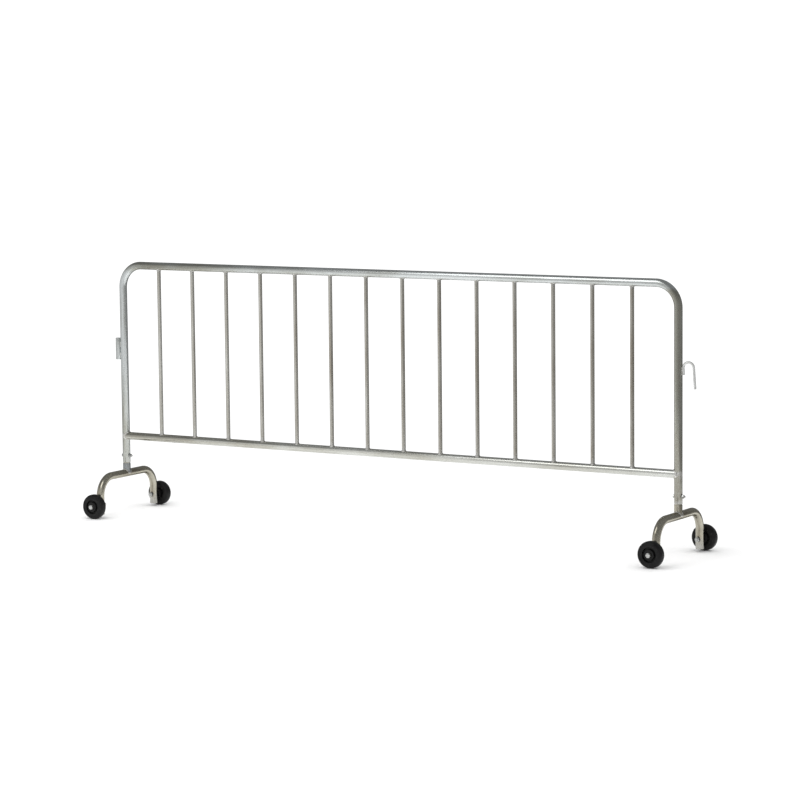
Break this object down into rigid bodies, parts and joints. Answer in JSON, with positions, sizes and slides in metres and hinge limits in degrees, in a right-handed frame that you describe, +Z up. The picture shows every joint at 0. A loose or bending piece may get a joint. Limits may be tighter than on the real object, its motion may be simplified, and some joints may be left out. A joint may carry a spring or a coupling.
{
  "type": "crowd control barrier",
  "caption": "Welded steel tube crowd control barrier with upright pickets, a coupling hook and sleeve, and bolt-on arched bases that stand on wheels.",
  "frame": {"origin": "on the floor, at the middle of the whole length and width, which is a little towards the hook end from the panel's middle", "axes": "+X along the barrier towards the coupling hook, +Y across it towards the back wheels, +Z up"},
  "size_m": [2.683, 0.5106, 1.0505],
  "materials": {
    "frame_steel": "galvanised tube, dull with soft streaks",
    "picket_steel": "galvanised picket tube, slightly browner",
    "base_steel": "galvanised tube, weathered olive grey",
    "weld_metal": "weld bead under zinc, rippled",
    "zinc_plate": "bright zinc plate",
    "wheel_black": "moulded satin black"
  },
  "bodies": {
    "frame": {"outer_frame_tube": "frame_steel", "bottom_rail": "frame_steel", "coupling_sleeve": "frame_steel", "picket_01": "picket_steel", "picket_02": "picket_steel", "picket_03": "picket_steel", "picket_04": "picket_steel", "picket_05": "picket_steel", "picket_06": "picket_steel", "picket_07": "picket_steel", "picket_08": "picket_steel", "picket_09": "picket_steel", "picket_10": "picket_steel", "picket_11": "picket_steel", "picket_12": "picket_steel", "picket_13": "picket_steel", "picket_14": "picket_steel", "left_base_tube": "base_steel", "left_base_collar": "base_steel", "left_base_spigot": "base_steel", "right_base_tube": "base_steel", "right_base_collar": "base_steel", "right_base_spigot": "base_steel", "picket_top_welds": "weld_metal", "picket_bottom_welds": "weld_metal", "rail_welds": "weld_metal", "hook_weld": "weld_metal", "sleeve_welds": "weld_metal", "collar_welds": "weld_metal", "coupling_hook": "zinc_plate", "base_bolts": "zinc_plate", "base_washers": "zinc_plate", "base_nuts": "zinc_plate", "axle_washers": "zinc_plate", "axle_nuts": "zinc_plate", "left_front_axle_sleeve": "zinc_plate", "left_front_axle_bolt": "zinc_plate", "left_back_axle_sleeve": "zinc_plate", "left_back_axle_bolt": "zinc_plate", "right_front_axle_sleeve": "zinc_plate", "right_front_axle_bolt": "zinc_plate", "right_back_axle_sleeve": "zinc_plate", "right_back_axle_bolt": "zinc_plate"},
    "left_front_wheel_body": {"left_front_wheel": "wheel_black"},
    "left_back_wheel_body": {"left_back_wheel": "wheel_black"},
    "right_front_wheel_body": {"right_front_wheel": "wheel_black"},
    "right_back_wheel_body": {"right_back_wheel": "wheel_black"}
  },
  "joints": [
    {"name": "left_front_wheel_spin", "type": "hinge", "parent": "frame", "child": "left_front_wheel_body", "pos_m": [-1.29067, -0.22837, 0.0508], "axis": [0, 1, 0], "continuous": true},
    {"name": "left_back_wheel_spin", "type": "hinge", "parent": "frame", "child": "left_back_wheel_body", "pos_m": [-1.29067, 0.22837, 0.0508], "axis": [0, 1, 0], "continuous": true},
    {"name": "right_front_wheel_spin", "type": "hinge", "parent": "frame", "child": "right_front_wheel_body", "pos_m": [1.26758, -0.22837, 0.0508], "axis": [0, 1, 0], "continuous": true},
    {"name": "right_back_wheel_spin", "type": "hinge", "parent": "frame", "child": "right_back_wheel_body", "pos_m": [1.26758, 0.22837, 0.0508], "axis": [0, 1, 0], "continuous": true}
  ]
}
